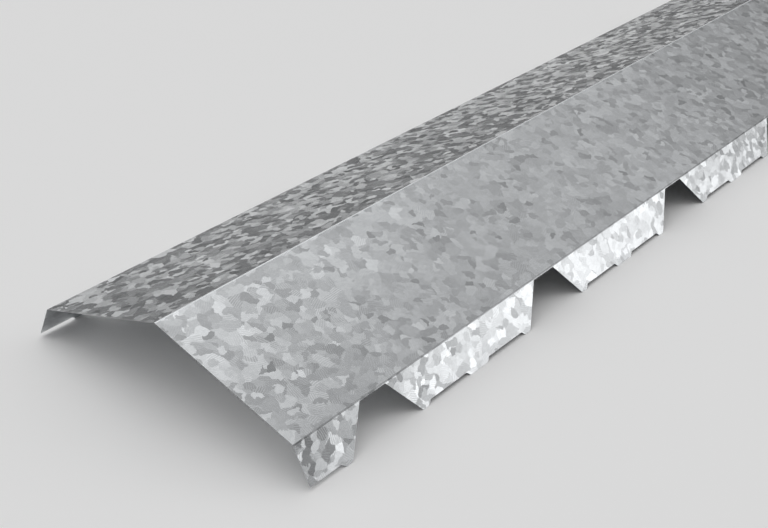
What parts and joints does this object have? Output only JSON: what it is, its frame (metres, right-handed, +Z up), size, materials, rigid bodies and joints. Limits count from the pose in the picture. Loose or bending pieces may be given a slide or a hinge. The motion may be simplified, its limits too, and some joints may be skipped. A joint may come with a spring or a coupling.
{
  "type": "roof ridge cap",
  "caption": "Folded galvanised steel ridge cap: flat wings meet at the ridge, and notched aprons drop between the ribs of a ribbed roof sheet.",
  "frame": {"origin": "middle of the length, under the ridge, on the level of the apron's feet", "axes": "+Z up, +Y along the ridge from the front end to the back end, +X to the right seen from the front end"},
  "size_m": [0.4604, 3.05, 0.1131],
  "materials": {
    "galvanised_steel": "hot-dip galvanised, with large bright spangles"
  },
  "bodies": {
    "root": {"ridge_cap": "galvanised_steel"}
  },
  "joints": []
}
